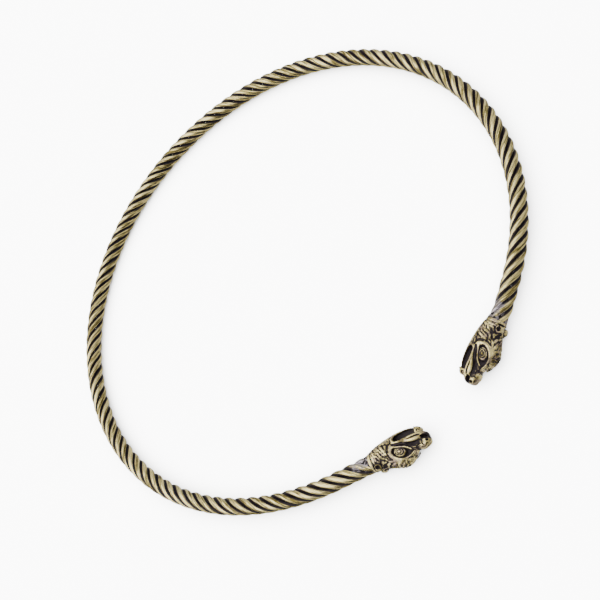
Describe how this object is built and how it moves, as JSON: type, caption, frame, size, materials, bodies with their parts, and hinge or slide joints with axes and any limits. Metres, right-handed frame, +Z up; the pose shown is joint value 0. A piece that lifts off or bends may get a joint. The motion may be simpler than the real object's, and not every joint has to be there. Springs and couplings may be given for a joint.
{
  "type": "bronze torc",
  "caption": "Open neck ring of twisted bronze wires, with a cast beast's head on each end, facing across the opening.",
  "frame": {"origin": "on the surface that the torc lies on, under the middle of its outline", "axes": "+Z up out of the ring, +Y away from the opening, +X to the right seen from above with the opening nearest"},
  "size_m": [0.148, 0.1386, 0.0074],
  "materials": {
    "drawn_bronze": "drawn round wire, polished antique bronze, black patina left in the grooves",
    "cast_bronze": "cast and rubbed bright on the high places, black patina in the carving",
    "soft_solder": "dull silver-grey soft solder, smeared"
  },
  "bodies": {
    "root": {"wire_1": "drawn_bronze", "wire_2": "drawn_bronze", "wire_3": "drawn_bronze", "wire_4": "drawn_bronze", "wire_5": "drawn_bronze", "head_left": "cast_bronze", "head_right": "cast_bronze", "solder_left": "soft_solder", "solder_right": "soft_solder"}
  },
  "joints": []
}
